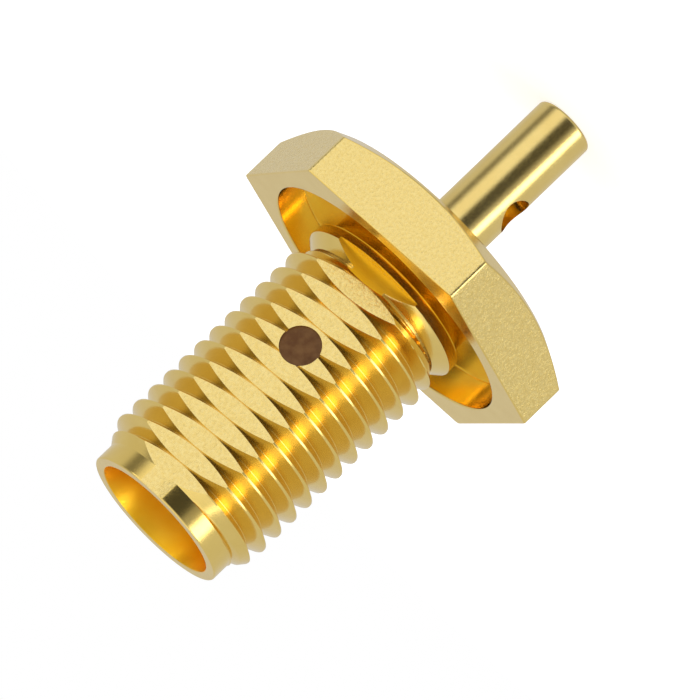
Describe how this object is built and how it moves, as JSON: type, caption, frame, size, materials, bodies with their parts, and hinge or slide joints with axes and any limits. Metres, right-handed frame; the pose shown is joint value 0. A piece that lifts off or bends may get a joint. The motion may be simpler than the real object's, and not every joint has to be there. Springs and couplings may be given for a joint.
{
  "type": "coaxial bulkhead jack",
  "caption": "Gold-plated coaxial panel jack with a threaded barrel, milled flat, grooved hexagonal flange and a slim crimp stem for a thin cable.",
  "frame": {"origin": "centre of the flange's front face, which seats on the panel", "axes": "+Z along the connector's axis, out of the mating end; the barrel's flat faces -Y and the stem's soldering window faces -X"},
  "size_m": [0.0128, 0.011, 0.0191],
  "materials": {
    "gold_plate": "satin gold plate",
    "insulator": "waxy white fluoropolymer",
    "contact_gold": "bright gold plate",
    "resin": "cured brown resin"
  },
  "bodies": {
    "root": {"shell": "gold_plate", "insulator": "insulator", "centre_contact": "contact_gold", "resin_plug": "resin"}
  },
  "joints": []
}
